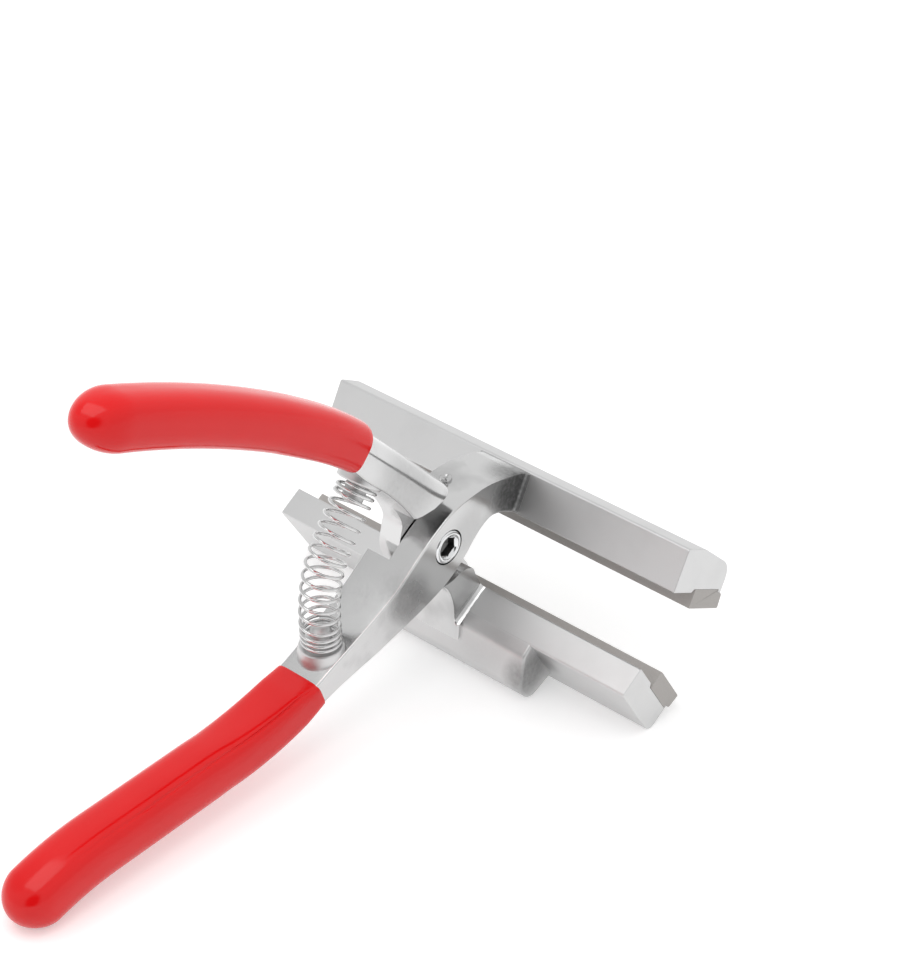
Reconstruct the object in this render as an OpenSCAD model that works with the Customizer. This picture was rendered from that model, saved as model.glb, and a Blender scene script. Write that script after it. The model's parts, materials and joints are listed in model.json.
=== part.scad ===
// Pliers for stretching canvas, standing on the lower grip and on the lower jaw.
// The pivot runs along X, the handles point to -Y and the jaws to +Y. Sizes are in millimetres.
// Each lever is drawn as it lies with the jaws closed, with the pivot at 0,0, and is then turned.

/* [Jaws] */
// width of both jaws along the pivot
jaw_w = 120; // [80:1:160]
// distance from the pivot to the jaws' rear face
jaw_back = 23.4; // [20:0.1:28]
// depth of a jaw from its rear face to its front
jaw_depth = 23; // [20:0.5:28]
// height of the upper jaw over its pad's seat
upper_jaw_h = 11; // [8:0.1:14]
// height of the lower jaw under its pad's seat
lower_jaw_h = 7.5; // [6:0.1:10]
// depth of the flat on the upper jaw's top
upper_flat = 8; // [4:0.5:12]
// drop of the upper jaw's top from this flat to the front
upper_jaw_drop = 4.1; // [3:0.1:5]
// radius of the upper jaw's front edge
upper_front_r = 5; // [3:0.5:6]
// distance of the lower jaw's front behind the upper one's
lower_set_back = 0.8; // [0.4:0.1:0.9]
// radius of the lower jaw's lower front edge
lower_front_r = 2.5; // [1:0.5:4]
// height by which a jaw's rear lip stands past the seat
lip_h = 0.9; // [0.4:0.1:1.5]
// depth of the rear lip
lip_depth = 9.4; // [6:0.1:12]
// depth of the front lip that keeps the pad in
front_lip = 1.4; // [1:0.1:2]
// chamfer on the jaws' long edges
jaw_chamfer = 0.5; // [0.2:0.1:1]

/* [Pads] */
// thickness of a pad over its seat
pad_t = 5.2; // [3:0.1:7]
// depth by which a pad stands past the jaw's front
pad_overhang = 1.2; // [0.5:0.1:2]
// distance from a pad's rear side to the rear lip
pad_gap = 0.6; // [0.3:0.1:1]
// height of the plane where the pads meet over the pivot
meet_h = 5.55; // [4:0.05:7]

/* [Block under the lower jaw] */
// width of the block
block_w = 60; // [40:1:80]
// distance of the block's lowest face under the jaw
block_drop = 9.6; // [6:0.1:12]
// radius of the block's lower edges
block_r = 3; // [1:0.1:5]
// radius of the block's upright corners
block_corner = 1.4; // [0.5:0.1:3]

/* [Levers] */
// width of a lever at the pivot
lever_w = 15.2; // [12:0.1:18]
// width of a strap where it enters its grip
strap_w = 13; // [10:0.1:15]
// gap between the two halves of the lap joint
lap_gap = 0.3; // [0.2:0.05:0.5]
// radius of the lower lever's hub
hub_r = 10.2; // [9:0.1:12]
// radius of the cuts that let the two hubs turn
lap_cut_r = 14; // [13:0.1:16]
// radius of the cut in the lower lever for the upper one's hub
near_cut_r = 11.9; // [11:0.1:13]
// height of the rounded crown on the upper tang
tang_crown = 3.2; // [1:0.1:4]
// radius in the corners between a neck and its jaw
neck_fillet = 3; // [1:0.1:5]

/* [Pivot] */
// diameter of the screw's shank
pivot_d = 6; // [5:0.1:8]
// running clearance around the shank
pivot_clear = 0.05; // [0.02:0.01:0.1]
// diameter of the screw's head
head_d = 9.6; // [8:0.1:11]
// height of the screw's head
head_h = 3.6; // [2:0.1:5]
// width of the hexagonal socket over its flats
socket_af = 5; // [3:0.5:6]
// depth of the socket
socket_depth = 2.6; // [1:0.1:3]
// width of the nut over its flats
nut_af = 10; // [8:0.5:11]
// height of the nut
nut_h = 3.4; // [2:0.1:5]

/* [Grips] */
// width of both grips
grip_w = 14.6; // [13:0.1:17]
// thickness of a grip near its end
grip_t = 14.4; // [12:0.1:17]
// thickness of the lower grip at its mouth
lower_mouth_t = 8.2; // [7:0.1:11]
// thickness of the upper grip at its mouth
upper_mouth_t = 12.6; // [10:0.1:14]
// radius of the lower grip's round end along the handle
lower_end_r = 7.8; // [6:0.1:11]
// radius of the upper grip's round end along the handle
upper_end_r = 10.4; // [7:0.1:12]
// squareness of a grip's section at its mouth, where 2 is an ellipse
mouth_square = 4.8; // [4.6:0.1:7]
// squareness of a grip's section over its length
body_square = 2.7; // [2.2:0.1:3.5]
// depth of the steel inside each grip
core_depth = 62; // [30:1:80]

/* [Spring] */
// diameter of the spring's wire
wire_d = 0.9; // [0.8:0.05:1]
// outer diameter of the spring
spring_d = 10.7; // [9:0.1:14]
// close curls at the lower end
lower_curls = 3; // [1:0.5:4]
// close curls at the upper end
upper_curls = 2; // [1:0.5:4]
// wide curls between them
wide_curls = 11.5; // [8:0.5:16]
// rise of a close curl
close_pitch = 1.4; // [1.4:0.05:2]
// diameter of the round seats under the spring
seat_d = 11.8; // [11:0.1:15]
// diameter of the studs inside the spring
stud_d = 5.6; // [5:0.1:8]
// height of the studs over their seats
stud_h = 5.4; // [2:0.1:6]

/* [Standing] */
// angle between the two levers with the pliers open
open_deg = 29.8; // [20:0.1:35]

/* [Hidden] */
round_fn = 64;
jaw_front = jaw_back + jaw_depth;
upper_seat = meet_h + pad_t;
lower_seat = meet_h - pad_t;
pad_back = jaw_back + lip_depth + pad_gap;
pad_front = jaw_front + pad_overhang;
pad_depth = pad_front - pad_back;
hub_half = lever_w / 2;
strap_half = strap_w / 2;
lap_half = lap_gap / 2;
lower_half = hub_half - 0.4;
block_low = lower_seat - lower_jaw_h - block_drop;

// Helpers: paths, smooth edges and lofted bodies

// a path of straights and bends: each piece has a length and a turn in degrees
function step_end(p, a, piece, t) =
    let (l = piece[0], w = piece[1], r = w == 0 ? 0 : l / (w * PI / 180))
    w == 0 ? [p[0] + t * l * cos(a), p[1] + t * l * sin(a), a]
        : [p[0] + r * (sin(a + t * w) - sin(a)), p[1] + r * (cos(a) - cos(a + t * w)), a + t * w];
function path_len(pieces, i = 0) = i >= len(pieces) ? 0 : pieces[i][0] + path_len(pieces, i + 1);
function path_at(p, a, pieces, s, i = 0) =
    i == len(pieces) - 1 || s <= pieces[i][0]
        ? step_end(p, a, pieces[i], s / pieces[i][0])
        : let (e = step_end(p, a, pieces[i], 1)) path_at([e[0], e[1]], e[2], pieces, s - pieces[i][0], i + 1);

// a smooth line through points
function pt(p, i) = p[max(0, min(len(p) - 1, i))];
function smooth(p, n = 4) = concat(
    [for (i = [0 : len(p) - 2]) for (k = [0 : n - 1])
        let (t = k / n, a = pt(p, i - 1), b = p[i], c = p[i + 1], d = pt(p, i + 2))
        (2 * b + (c - a) * t + (2 * a - 5 * b + 4 * c - d) * t * t + (3 * b - a - 3 * c + d) * t * t * t) / 2],
    [p[len(p) - 1]]);

// a value that changes along a length, from a table of distance and value
function along(table, s, i = 0) =
    i >= len(table) - 1 ? table[len(table) - 1][1]
        : s < table[i][0] ? table[i][1]
        : s <= table[i + 1][0]
            ? table[i][1] + (table[i + 1][1] - table[i][1]) * (s - table[i][0]) / (table[i + 1][0] - table[i][0])
            : along(table, s, i + 1);

// points on an arc around c
function arc(c, r, a0, a1, n) = [for (i = [0 : n]) let (a = a0 + (a1 - a0) * i / n) c + r * [cos(a), sin(a)]];

// a ring across a path, at station q with height directed away from the underside
function ring(q, section) =
    [for (v = section) [v[0], q[0] + v[1] * sin(q[2]), q[1] - v[1] * cos(q[2])]];
function sgn_pow(v, e) = sign(v) * pow(abs(v), e);
function soft_box(a, b, e, n) =
    [for (i = [0 : n - 1]) let (t = 360 * (i + 0.5) / n) [a * sgn_pow(cos(t), 2 / e), b * sgn_pow(sin(t), 2 / e)]];

module loft(rings) {
    n = len(rings[0]);
    m = len(rings);
    sides = [for (j = [0 : m - 2]) for (i = [0 : n - 1])
        let (k = (i + 1) % n)
        each [[j * n + k, j * n + i, (j + 1) * n + k], [(j + 1) * n + k, j * n + i, (j + 1) * n + i]]];
    first = [for (i = [1 : n - 2]) [0, i, i + 1]];
    last = [for (i = [1 : n - 2]) [(m - 1) * n, (m - 1) * n + i + 1, (m - 1) * n + i]];
    polyhedron([for (r = rings) for (p = r) p], concat(sides, first, last));
}

// extrusion of a side profile along the pivot, from x0 to x1
module across(x0, x1) {
    translate([x0, 0, 0]) rotate([90, 0, 90]) linear_extrude(x1 - x0) children();
}
module disc(r, x0, x1, fn = round_fn) {
    translate([x0, 0, 0]) rotate([0, 90, 0]) cylinder(r = r, h = x1 - x0, $fn = fn);
}
module place_upper() { translate([0, pivot_y, pivot_z]) rotate([upper_tilt, 0, 0]) children(); }
module place_lower() { translate([0, pivot_y, pivot_z]) rotate([lower_tilt, 0, 0]) children(); }

// Handle paths, drawn with the jaws closed

// start of the lower handle's path and its first direction
lower_start = [-5.7, -12.5];
lower_dir = 228.3;
// lengths and turns of the lower handle
lower_pieces = [[36.4, 0], [31.6, -18.2], [37.6, 0], [27.1, 21]];
lower_len = path_len(lower_pieces);
// distance along the path to the lower grip's mouth
lower_mouth = 36.8;
lower_path = function(s) path_at(lower_start, lower_dir, lower_pieces, s);
lower_b = [[lower_mouth, lower_mouth_t / 2], [lower_mouth + 7, 5.6], [lower_mouth + 15, 6.1],
    [lower_mouth + 36, grip_t / 2], [lower_len, grip_t / 2]];

// start of the upper handle's path and its first direction
upper_start = [-12, 6];
upper_dir = 190;
// lengths and turns of the upper handle
upper_pieces = [[25.1, 0], [28.5, 13.8], [64.5, 12.9], [12.7, 0]];
upper_len = path_len(upper_pieces);
// distance along the path to the upper grip's mouth
upper_mouth = 38.6;
// start and direction of the ridge along the tang's top
tang_top = [-9, 12.2];
tang_dir = 192.2;
upper_path = function(s) path_at(upper_start, upper_dir, upper_pieces, s);
upper_b = [[upper_mouth, upper_mouth_t / 2], [upper_mouth + 26, 6.7], [upper_len, 7]];

// rings of a grip: the body and a round end
grip_steps = 22;
end_steps = 8;
grip_fn = 32;
function grip_rings(path, mouth, total, table, r) =
    let (body = total - r - mouth) concat(
    [for (i = [0 : grip_steps])
        let (s = mouth + body * i / grip_steps, e = mouth_square + (body_square - mouth_square) * min(1, 3 * i / grip_steps))
        ring(path(s), soft_box(grip_w / 2, along(table, s), e, grip_fn))],
    [for (k = [1 : end_steps]) let (a = 88 * k / end_steps, s = total - r + r * sin(a), f = cos(a))
        ring(path(s), soft_box(grip_w / 2 * f, along(table, s) * f, body_square + (2 - body_square) * sin(a), grip_fn))]);
lower_grip_rings = grip_rings(lower_path, lower_mouth, lower_len, lower_b, lower_end_r);
upper_grip_rings = grip_rings(upper_path, upper_mouth, upper_len, upper_b, upper_end_r);

// Side profiles, with the jaws closed

upper_jaw_top = upper_seat + upper_jaw_h;
// the top leans down past its flat and meets the front in an arc, tangent to both
top_lean = atan(upper_jaw_drop / (jaw_depth - upper_flat));
front_arc_z = upper_jaw_top - upper_front_r * cos(top_lean)
    - tan(top_lean) * (jaw_depth - upper_front_r + upper_front_r * sin(top_lean) - upper_flat);
upper_jaw_side = concat(
    [[jaw_back, upper_seat - lip_h + jaw_chamfer], [jaw_back + jaw_chamfer, upper_seat - lip_h],
        [jaw_back + lip_depth - lip_h, upper_seat - lip_h], [jaw_back + lip_depth, upper_seat],
        [jaw_front - front_lip, upper_seat], [jaw_front - front_lip, upper_seat - lip_h],
        [jaw_front, upper_seat - lip_h]],
    arc([jaw_front - upper_front_r, front_arc_z], upper_front_r, 0, 90 - top_lean, 8),
    [[jaw_back + upper_flat, upper_jaw_top], [jaw_back + jaw_chamfer, upper_jaw_top],
        [jaw_back, upper_jaw_top - jaw_chamfer]]);
lower_jaw_low = lower_seat - lower_jaw_h;
lower_jaw_side = concat(
    [[jaw_back, lower_seat + lip_h - jaw_chamfer], [jaw_back + jaw_chamfer, lower_seat + lip_h],
        [jaw_back + lip_depth - lip_h, lower_seat + lip_h], [jaw_back + lip_depth, lower_seat],
        [jaw_front - front_lip, lower_seat], [jaw_front - front_lip, lower_seat + lip_h],
        [jaw_front - lower_set_back, lower_seat + lip_h]],
    arc([jaw_front - lower_set_back - lower_front_r, lower_jaw_low + lower_front_r], lower_front_r, 0, -90, 6),
    [[jaw_back + jaw_chamfer, lower_jaw_low], [jaw_back, lower_jaw_low + jaw_chamfer]]);
block_side = concat(
    [[jaw_back, lower_jaw_low + 1], [jaw_back, lower_jaw_low], [jaw_back + 0.6, lower_jaw_low - 3.4]],
    arc([jaw_back + 9, block_low + block_r], block_r, 228, 270, 5),
    arc([jaw_back + 12, block_low + block_r + 0.6], block_r + 0.6, 270, 340, 6),
    [[jaw_back + 16.6, lower_jaw_low + 1]]);
pad_side = [[0, 0], [pad_depth, 0], [pad_depth - 0.5, pad_t - lip_h - 0.4],
    [pad_depth - 1.3, pad_t - lip_h], [jaw_front - front_lip - pad_back, pad_t - lip_h],
    [jaw_front - front_lip - pad_back, pad_t], [0, pad_t]];

// back and front edges of the upper lever, from its jaw to its strap
upper_back = smooth([[jaw_back + 1, upper_jaw_top - 0.4], [17.4, 20.4], [8.8, 17.8], [2.8, 14.4], [-2.6, 10.2],
    [-6.2, 5.2], [-9.6, -0.6], [-12.8, -7.6], [-16, -14.4], [-19.6, -20]]);
upper_front = smooth([[-7.5, -23.6], [-1.2, -17], [3.2, -12], [5.6, -8.8], [8.2, -3.8], [9.6, 0.8],
    [11.1, 4.6], [13.2, 7.8], [16, 9.7], [jaw_back - 2, 10], [jaw_back + 1, 10.2]]);
// edges of the lower lever's neck on its far half and on its near half
neck_low = smooth([[4.4, -9.2], [11, -7.2], [15.9, -8], [jaw_back, -11.6], [jaw_back + 5.2, -15.6]]);
far_neck_top = smooth([[jaw_back + 3, 1], [jaw_back + 1.2, 4.2], [20, 4.4], [14, 5], [9, 6.8], [4, 9.4]]);
near_neck_top = smooth([[jaw_back + 0.6, 1], [18.4, 1.5], [15.4, 2.2], [13.2, 0.6], [11.6, -1.2], [10.6, -3]]);
neck_inside = [[jaw_back + 9, block_low + 3], [jaw_back + 9, lower_seat - 2]];
// underside of the lower lever's root, from the tang to the hub
root_low = smooth([[-30, -2.4], [-24, -2.6], [-18.4, -2.4], [-14, -2.6], [-10.6, -3.6], [-8, -6.4]]);
// top of the root, from the hub to the tang
root_top = smooth([[0, hub_r], [-3.6, 10.4], [-7.4, 11.1], [-11.2, 11.6], [-20, 7.6]]);

// what the lower lever lacks on its near half, where the upper lever passes
lap_side = [[0, 0], [-8.2, -14], [-14, -9], [-13.8, 8], [-9.4, 16], [4, 18], [16, 12], [12, -1]];

// How the pliers stand: the tilt at which the lower grip and the lower jaw touch the ground together

grip_points = [for (r = lower_grip_rings) for (v = r) [v[1], v[2]]];
jaw_points = concat(lower_jaw_side, block_side);
front_points = concat(upper_jaw_side, [[pad_front, meet_h]]);
function lowest(points, a) = min([for (p = points) p[0] * sin(a) + p[1] * cos(a)]);
function stand_tilt(a, b, tries = 30) =
    let (m = (a + b) / 2)
    tries == 0 ? m : lowest(grip_points, m) > lowest(jaw_points, m - open_deg)
        ? stand_tilt(m, b, tries - 1) : stand_tilt(a, m, tries - 1);
upper_tilt = stand_tilt(-60, 0);
lower_tilt = upper_tilt - open_deg;
rear_y = min([for (p = grip_points) p[0] * cos(upper_tilt) - p[1] * sin(upper_tilt)]);
front_y = max([for (p = front_points) p[0] * cos(upper_tilt) - p[1] * sin(upper_tilt)]);
pivot_y = -(rear_y + front_y) / 2;
pivot_z = -lowest(grip_points, upper_tilt);

// The spring, which stands on the lower strap and ends under the upper tang

spring_start = [-28.2, -29.1];
spring_dir = 121;
spring_pieces = [[6.7, 0], [11.6, -15.2], [10.6, -23.8], [15.9, 0]];
spring_len = path_len(spring_pieces);
spring_path = function(s) path_at(spring_start, spring_dir, spring_pieces, s);
spring_end = spring_path(spring_len);
coil_r = (spring_d - wire_d) / 2;
steps_per_curl = 8;
wire_sides = 6;
all_curls = lower_curls + wide_curls + upper_curls;
wide_len = spring_len - 2 * wire_d - (lower_curls + upper_curls) * close_pitch;
// distance along the spring at which a number of curls is reached
function curl_s(c) =
    c <= lower_curls ? wire_d + c * close_pitch
        : c <= lower_curls + wide_curls
            ? wire_d + lower_curls * close_pitch + wide_len * (c - lower_curls) / wide_curls
            : wire_d + lower_curls * close_pitch + wide_len + (c - lower_curls - wide_curls) * close_pitch;
function coil_point(s, a) =
    let (q = spring_path(s))
    [coil_r * sin(a), q[0] + coil_r * cos(a) * sin(q[2]), q[1] - coil_r * cos(a) * cos(q[2])];
curl_steps = all_curls * steps_per_curl;
coil_points = concat([coil_point(0, 0)],
    [for (i = [0 : curl_steps]) coil_point(curl_s(i / steps_per_curl), 360 * i / steps_per_curl)],
    [coil_point(spring_len, 360 * all_curls)]);
coil_gaps = [for (i = [0 : len(coil_points) - 1]) for (j = [i + 5 : 1 : min(i + 14, len(coil_points) - 1)])
    norm(coil_points[i] - coil_points[j]) - wire_d];
echo(spring_least_gap = min(coil_gaps), curls = all_curls);
echo(upper_tilt = upper_tilt, pivot_y = pivot_y, pivot_z = pivot_z);

function unit(v) = v / norm(v);
function wire_ring(i) =
    let (n = len(coil_points), p = coil_points[i],
        t = i == 0 ? unit(coil_points[1] - p) : i == n - 1 ? unit(p - coil_points[n - 2])
            : unit(unit(coil_points[i + 1] - p) + unit(p - coil_points[i - 1])),
        g = i <= 1 ? 0 : i >= n - 2 ? 360 * all_curls : 360 * (i - 1) / steps_per_curl,
        q = spring_path(i <= 1 ? 0 : i >= n - 2 ? spring_len : curl_s((i - 1) / steps_per_curl)),
        w = [sin(g), cos(g) * sin(q[2]), -cos(g) * cos(q[2])],
        u = unit(w - (w * t) * t), v = cross(t, u))
    [for (k = [0 : wire_sides - 1]) let (a = 360 * k / wire_sides) p + wire_d / 2 * (cos(a) * u + sin(a) * v)];

// seat and stud for one end of the spring; the seat reaches back into the lever
module spring_seat(p, a, back) {
    translate([0, p[0], p[1]]) rotate([a - 90, 0, 0]) {
        translate([0, 0, -back]) cylinder(d = seat_d, h = back, $fn = round_fn);
        cylinder(d = stud_d, h = stud_h - stud_d / 4, $fn = round_fn);
        translate([0, 0, stud_h - stud_d / 4]) intersection() {
            sphere(d = stud_d, $fn = 32);
            cylinder(d = stud_d, h = stud_d / 4 + 0.4, $fn = round_fn);
        }
    }
}

// The parts

// a bar that follows a handle's path, with half its thickness from a table
module bar(path, table, stop, start, half) {
    steps = 16;
    stations = [for (i = [0 : steps]) let (s = start + (stop - start) * i / steps) concat(path(s), [along(table, s)])];
    upper_side = [for (q = stations) [q[0] + q[3] * sin(q[2]), q[1] - q[3] * cos(q[2])]];
    under_side = [for (i = [steps : -1 : 0]) let (q = stations[i]) [q[0] - q[3] * sin(q[2]), q[1] + q[3] * cos(q[2])]];
    across(-half, half) polygon(concat(upper_side, under_side));
}

// a lever seen from above: round into the jaw, wide at the pivot and narrower at the strap
module lever_plan(half) {
    far = 150;
    narrow = -26;
    side = concat([[half + neck_fillet, far], [half + neck_fillet, jaw_back]],
        arc([half + neck_fillet, jaw_back - neck_fillet], neck_fillet, 90, 180, 5),
        [[half, -8], [strap_half, narrow], [strap_half - 1, -far]]);
    other_side = [for (i = [len(side) - 1 : -1 : 0]) [-side[i][0], side[i][1]]];
    translate([0, 0, -far]) linear_extrude(2 * far) polygon(concat(side, other_side));
}

// the lower strap and its end inside the grip
module lower_core() {
    stop = lower_mouth + core_depth;
    intersection() {
        bar(lower_path, [[0, 7.2], [12, 5.9], [26, 4.4], [lower_mouth, 3.5], [stop, 2.8]], stop, 0, hub_half);
        lever_plan(hub_half);
    }
}

// the upper tang, round on its top, and its slimmer end inside the grip
module upper_core() {
    stop = upper_mouth + core_depth;
    bar(upper_path, [[upper_mouth - 2, 4.2], [stop, 4]], stop, upper_mouth - 2, 5);
    intersection() {
        bar(upper_path, [[0, 6.9], [16, 6.4], [upper_mouth, 5.3]], upper_mouth + 3, 0, hub_half);
        lever_plan(lower_half);
        translate([0, tang_top[0], tang_top[1]]) rotate([tang_dir - 90, 0, 0]) translate([0, 0, -20]) linear_extrude(160)
            polygon(concat([[hub_half, -60], [hub_half, -tang_crown]],
                [for (t = [15 : 15 : 165]) [hub_half * cos(t), tang_crown * (sin(t) - 1)]],
                [[-hub_half, -tang_crown], [-hub_half, -60]]));
    }
}

// the block under the lower jaw, with its upright corners rounded
module block() {
    half = block_w / 2;
    inner = half - block_corner;
    deep = jaw_front;
    corner = arc([inner, jaw_back + block_corner], block_corner, 0, -90, 6);
    intersection() {
        across(-half, half) polygon(block_side);
        translate([0, 0, block_low - 1]) linear_extrude(lower_seat - block_low)
            polygon(concat([[half, deep]], corner, [for (i = [len(corner) - 1 : -1 : 0]) [-corner[i][0], corner[i][1]]],
                [[-half, deep]]));
    }
}

module upper_jaw_lever() {
    reach = hub_half + neck_fillet;
    color("silver") place_upper() difference() {
        union() {
            across(-jaw_w / 2, jaw_w / 2) polygon(upper_jaw_side);
            intersection() {
                across(-reach, reach) polygon(concat(upper_back, upper_front));
                lever_plan(hub_half);
            }
            lower_core();
            spring_seat(spring_start, spring_dir, 6);
        }
        disc(lap_cut_r, -hub_half - 1, lap_half);
        disc(pivot_d / 2 + pivot_clear, -1, hub_half + 1);
        disc(head_d / 2 + 0.35, hub_half - head_h, hub_half + 1);
    }
}

module lower_jaw_lever() {
    reach = lower_half + neck_fillet;
    color("silver") place_lower() difference() {
        union() {
            across(-jaw_w / 2, jaw_w / 2) polygon(lower_jaw_side);
            block();
            intersection() {
                union() {
                    across(-reach, 0) polygon(concat(neck_low, neck_inside, far_neck_top, [[0, 0]]));
                    across(0, reach) polygon(concat(neck_low, neck_inside, near_neck_top, [[6, -3]]));
                }
                lever_plan(lower_half);
            }
            disc(hub_r, -lower_half, 0);
            across(-lower_half, lower_half) polygon(concat(root_low, root_top));
            upper_core();
            place_in_lower() spring_seat([spring_end[0], spring_end[1]], spring_end[2] + 180, 3.4);
        }
        disc(near_cut_r, -lap_half, hub_half + 1);
        across(-lap_half, hub_half + 1) polygon(lap_side);
        disc(pivot_d / 2, -hub_half - 1, 1);
    }
}

// moves from the upper lever's drawing to the lower lever's
module place_in_lower() { rotate([open_deg, 0, 0]) children(); }

module upper_jaw_pad() {
    color("dimgray") place_upper() translate([0, pad_back, meet_h]) across(-jaw_w / 2, jaw_w / 2) polygon(pad_side);
}

module lower_jaw_pad() {
    color("dimgray") place_lower() translate([0, pad_back, meet_h]) mirror([0, 0, 1])
        across(-jaw_w / 2, jaw_w / 2) polygon(pad_side);
}

module lower_grip() {
    color("red") place_upper() difference() {
        loft(lower_grip_rings);
        lower_core();
    }
}

module upper_grip() {
    color("red") place_lower() difference() {
        loft(upper_grip_rings);
        upper_core();
    }
}

module return_spring() {
    color("lightgray") place_upper() loft([for (i = [0 : len(coil_points) - 1]) wire_ring(i)]);
}

module pivot_screw() {
    color("gainsboro") place_lower() difference() {
        union() {
            disc(pivot_d / 2, -lower_half - nut_h - 0.4, hub_half - head_h + 0.2);
            disc(head_d / 2, hub_half - head_h, hub_half - 0.1);
        }
        disc(socket_af / 2 / cos(30), hub_half - socket_depth, hub_half + 1, 6);
    }
}

module pivot_nut() {
    color("gainsboro") place_lower() difference() {
        disc(nut_af / 2 / cos(30), -lower_half - nut_h, -lower_half, 6);
        disc(pivot_d / 2, -lower_half - nut_h - 1, 0);
    }
}

upper_jaw_lever();
lower_jaw_lever();
upper_jaw_pad();
lower_jaw_pad();
lower_grip();
upper_grip();
return_spring();
pivot_screw();
pivot_nut();
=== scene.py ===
import json
import math
import bpy
import numpy as np
from mathutils import Matrix


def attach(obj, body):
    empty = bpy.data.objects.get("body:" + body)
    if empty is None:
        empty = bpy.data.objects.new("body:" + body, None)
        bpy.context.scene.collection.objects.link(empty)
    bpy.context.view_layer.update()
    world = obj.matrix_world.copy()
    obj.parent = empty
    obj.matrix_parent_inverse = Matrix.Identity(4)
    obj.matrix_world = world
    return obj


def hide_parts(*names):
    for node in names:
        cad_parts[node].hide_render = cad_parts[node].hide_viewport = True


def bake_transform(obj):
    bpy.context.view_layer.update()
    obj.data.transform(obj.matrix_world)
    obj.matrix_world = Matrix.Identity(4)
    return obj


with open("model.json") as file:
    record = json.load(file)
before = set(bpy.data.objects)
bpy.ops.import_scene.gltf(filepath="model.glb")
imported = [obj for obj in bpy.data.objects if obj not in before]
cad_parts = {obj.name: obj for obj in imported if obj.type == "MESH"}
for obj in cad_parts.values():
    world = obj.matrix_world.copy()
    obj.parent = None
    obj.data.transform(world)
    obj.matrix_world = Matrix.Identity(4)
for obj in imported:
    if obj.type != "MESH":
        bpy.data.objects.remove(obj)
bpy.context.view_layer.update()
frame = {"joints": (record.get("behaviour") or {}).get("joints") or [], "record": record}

# Sizes are in millimetres. Each lever is drawn as it lies with the jaws closed, with the pivot
# at 0,0, y towards the jaws and z up, and is then turned about the pivot to its own tilt.

MM = 0.001
PER_MM = 1 / MM
UPPER, LOWER = "upper_jaw_side", "lower_jaw_side"
pivot = np.array(frame["joints"][0]["pos_m"])
axes = {mount["name"]: mount["axis"] for mount in frame["record"]["mounts"]}
upper_tilt = math.atan2(axes["upper_pad_face"][1], -axes["upper_pad_face"][2])
lower_tilt = math.atan2(-axes["lower_pad_face"][1], axes["lower_pad_face"][2])

# the jaws, the lips round their pads and the block under the lower jaw
jaw_w, jaw_back, jaw_front = 120.0, 23.4, 46.4
upper_jaw_top, upper_flat, upper_jaw_drop = 21.75, 8.0, 4.15
lower_jaw_low, lower_set_back = -7.15, 0.8
upper_seat, lower_seat, lip_h, lip_depth, front_lip = 10.75, 0.35, 0.9, 9.4, 1.4
block_w, block_low, block_depth = 60.0, -16.75, 16.8

# the pads
pad_back, pad_depth, pad_t, meet_h = 33.4, 14.2, 5.2, 5.55
pad_step_y, pad_step_t = 11.6, 4.3

# the levers, and the radii at which their laps are cut
upper_half, lower_half, strap_half, lap = 7.6, 7.2, 6.5, 0.15
neck_fillet, hub_cut_r, near_cut_r = 1.4, 14.0, 11.9

# the screw and the nut
head_r, head_ring_r, head_ring_h, head_play, head_depth = 4.65, 3.82, 0.7, 0.25, 3.6
shank_r, socket_half, socket_depth = 3.0, 2.5, 2.4
nut_half, nut_face_r, nut_t, nut_bevel = 5.0, 4.75, 3.4, 0.58

# the spring and its seats
wire_d, coil_r, seat_r, stud_r, stud_h = 0.9, 4.9, 5.9, 2.8, 4.0
lower_curls, wide_curls, upper_curls, close_pitch = 3, 11.5, 2, 1.4

# the grips, and the exponent of their section
grip_w, grip_lip, grip_e = 14.6, 0.6, 2.7

# Handle paths: start, heading in degrees, and lengths with turns

lower_handle = ((-5.7, -12.5), 228.3, ((36.4, 0), (31.6, -18.2), (37.6, 0), (27.1, 21)))
upper_handle = ((-12, 6), 190, ((25.1, 0), (28.5, 13.8), (64.5, 12.9), (12.7, 0)))
lower_mouth, lower_len, upper_mouth, upper_len = 36.8, 132.7, 38.6, 130.8


# Shapes as arrays of points

def turn_x(points, tilt):
    """Points or directions turned by tilt about X: (x, y cos - z sin, y sin + z cos)."""
    x, y, z = np.moveaxis(np.asarray(points, float), -1, 0)
    c, s = math.cos(tilt), math.sin(tilt)
    return np.stack([x, y * c - z * s, y * s + z * c], -1)


def place(points, tilt):
    """Millimetres about the pivot to metres in the shared frame."""
    return turn_x(points, tilt) * MM + pivot


def smooth(rows, steps):
    """Rows of numbers joined smoothly. Between rows b and c, with a before them and d after
    them, the value at t is half of
    2b + (c - a)t + (2a - 5b + 4c - d)t^2 + (3b - a - 3c + d)t^3."""
    p = np.asarray(rows, float)
    p = np.vstack([p[:1], p, p[-1:]])
    t = (np.arange(steps) / steps)[None, :, None]
    a, b, c, d = p[:-3, None], p[1:-2, None], p[2:-1, None], p[3:, None]
    squared, cubed = 2 * a - 5 * b + 4 * c - d, 3 * b - a - 3 * c + d
    q = (2 * b + (c - a) * t + squared * t**2 + cubed * t**3) / 2
    return np.vstack([q.reshape(-1, p.shape[1]), p[-2:-1]])


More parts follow.
